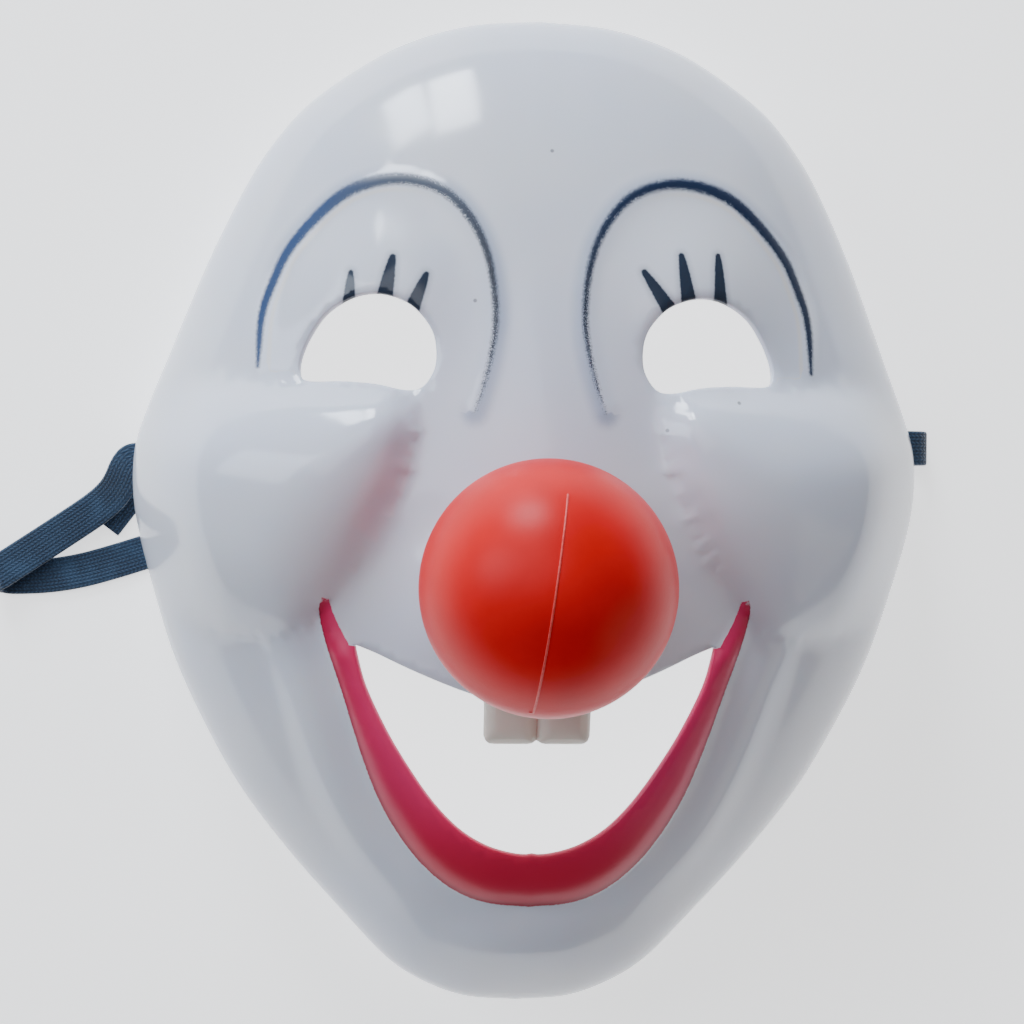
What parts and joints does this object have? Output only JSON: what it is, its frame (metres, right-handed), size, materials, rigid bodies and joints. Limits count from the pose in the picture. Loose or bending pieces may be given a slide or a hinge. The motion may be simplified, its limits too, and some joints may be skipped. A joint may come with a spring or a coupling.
{
  "type": "clown mask",
  "caption": "Hard plastic clown face mask with open eye holes, raised brows, round cheeks, a wide open smile, a round red nose and a flat elastic strap.",
  "frame": {"origin": "on the surface that the mask rests on, under the middle of the face shell's outline", "axes": "+Z is out of the face, +Y is towards the forehead, +X is the side of the viewer's right hand; the mask lies on its rim with the face up"},
  "size_m": [0.2193, 0.2234, 0.1085],
  "materials": {
    "white_plastic": "gloss white with painted brows, lashes, lip and teeth",
    "red_soft_plastic": "satin red",
    "navy_elastic": "woven elastic, dark navy"
  },
  "bodies": {
    "root": {"face_shell": "white_plastic", "nose_ball": "red_soft_plastic", "strap": "navy_elastic"}
  },
  "joints": []
}
